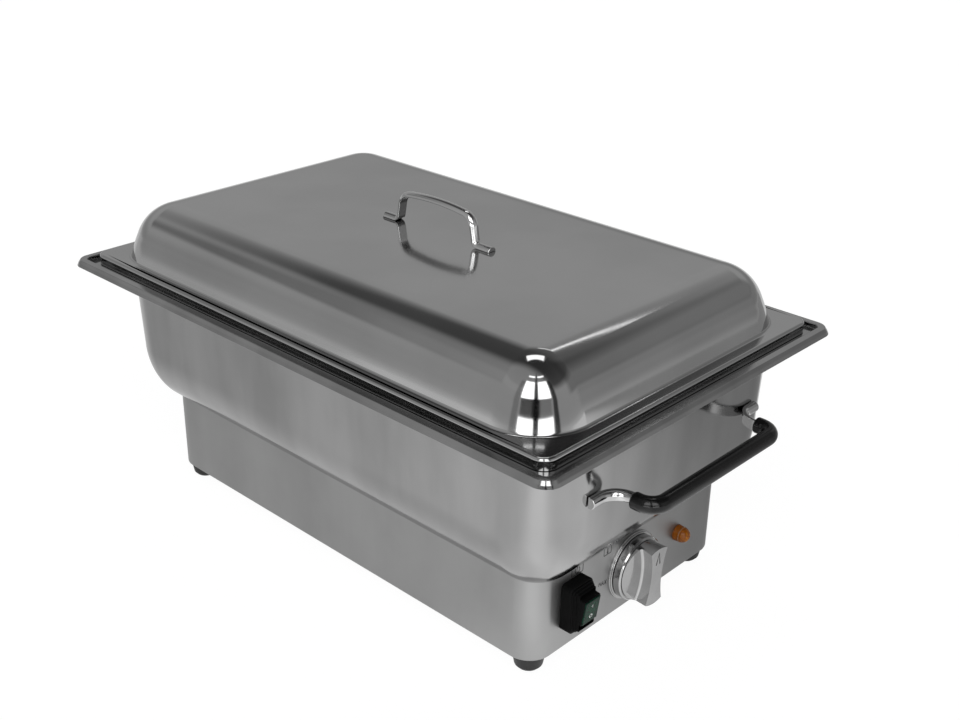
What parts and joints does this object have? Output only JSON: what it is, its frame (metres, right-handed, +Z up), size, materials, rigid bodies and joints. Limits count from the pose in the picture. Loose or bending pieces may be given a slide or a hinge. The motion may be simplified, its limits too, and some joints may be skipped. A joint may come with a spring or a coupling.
{
  "type": "electric chafing dish",
  "caption": "Countertop bain-marie food warmer: drawn steel water basin on a rounded housing, lift-off pan and domed lid, carrying handles, control end with switch, thermostat knob and lamp.",
  "frame": {"origin": "middle of the footprint on the table", "axes": "+X along the length towards the control end, +Y across, +Z up"},
  "size_m": [0.5994, 0.3556, 0.3029],
  "materials": {
    "basin_steel": "satin",
    "housing_steel": "satin",
    "plate_steel": "mill",
    "pan_steel": "bright",
    "lid_steel": "polished",
    "handle_steel": "polished",
    "fastener_steel": "zinc plated",
    "element_steel": "oxidised",
    "spreader_alloy": "mill",
    "knob_chrome": "polished",
    "blade_brass": "plain",
    "capillary_copper": "plain",
    "foot_rubber": "moulded",
    "sleeve_black": "gloss",
    "switch_black": "satin",
    "boot_black": "moulded",
    "window_green": "gloss",
    "lens_amber": "gloss",
    "ring_pale": "gloss",
    "lamp_black": "moulded",
    "phenolic": "moulded",
    "ceramic": "fired",
    "block_white": "moulded",
    "gland_black": "moulded",
    "lead_brown": "extruded",
    "lead_black": "extruded",
    "lead_white": "extruded",
    "lead_blue": "extruded",
    "lead_green": "extruded"
  },
  "bodies": {
    "base": {"water_basin": "basin_steel", "lower_housing": "housing_steel", "base_plate": "plate_steel", "base_plate_screws": "fastener_steel", "rubber_feet": "foot_rubber", "foot_screws": "fastener_steel", "foot_nuts": "fastener_steel", "handle_bar_front": "handle_steel", "handle_bar_rear": "handle_steel", "grip_sleeve_front": "sleeve_black", "grip_sleeve_rear": "sleeve_black", "heating_element": "element_steel", "element_terminals": "ceramic", "spreader_plate": "spreader_alloy", "clamp_bars": "fastener_steel", "clamp_studs": "fastener_steel", "clamp_nuts": "fastener_steel", "thermostat_body": "phenolic", "thermostat_terminals": "blade_brass", "thermostat_screws": "fastener_steel", "knob_bezel": "knob_chrome", "capillary_tube": "capillary_copper", "sensor_bulb": "capillary_copper", "bulb_clip": "fastener_steel", "thermal_cutout": "phenolic", "cutout_bracket": "fastener_steel", "switch_frame": "switch_black", "switch_boot": "boot_black", "switch_body": "switch_black", "switch_terminals": "blade_brass", "lamp_body": "lamp_black", "lamp_nut": "lamp_black", "lamp_lens": "lens_amber", "lamp_ring": "ring_pale", "cable_gland": "gland_black", "gland_locknut": "gland_black", "terminal_block": "block_white", "earth_stud": "fastener_steel", "earth_nuts": "blade_brass", "supply_leads": "lead_brown", "switch_leads": "lead_black", "heater_leads": "lead_white", "lamp_leads": "lead_blue", "earth_lead": "lead_green"},
    "pan": {"food_pan": "pan_steel"},
    "lid": {"lid_shell": "lid_steel", "lid_handle": "handle_steel"},
    "knob": {"thermostat_knob": "knob_chrome", "thermostat_spindle": "fastener_steel"},
    "rocker": {"switch_rocker": "switch_black", "rocker_window": "window_green"}
  },
  "joints": [
    {"name": "pan_lift", "type": "slide", "parent": "base", "child": "pan", "axis": [0, 0, 1], "range_m": [0, 0.12]},
    {"name": "lid_lift", "type": "slide", "parent": "pan", "child": "lid", "axis": [0, 0, 1], "range_m": [0, 0.15]},
    {"name": "knob_turn", "type": "hinge", "parent": "base", "child": "knob", "pos_m": [0.2248, -0.003, 0.052], "axis": [1, 0, 0], "range_deg": [-266, 4]},
    {"name": "rocker_tilt", "type": "hinge", "parent": "base", "child": "rocker", "pos_m": [0.2308, -0.078, 0.0565], "axis": [0, 1, 0], "range_deg": [-16, 0]}
  ]
}
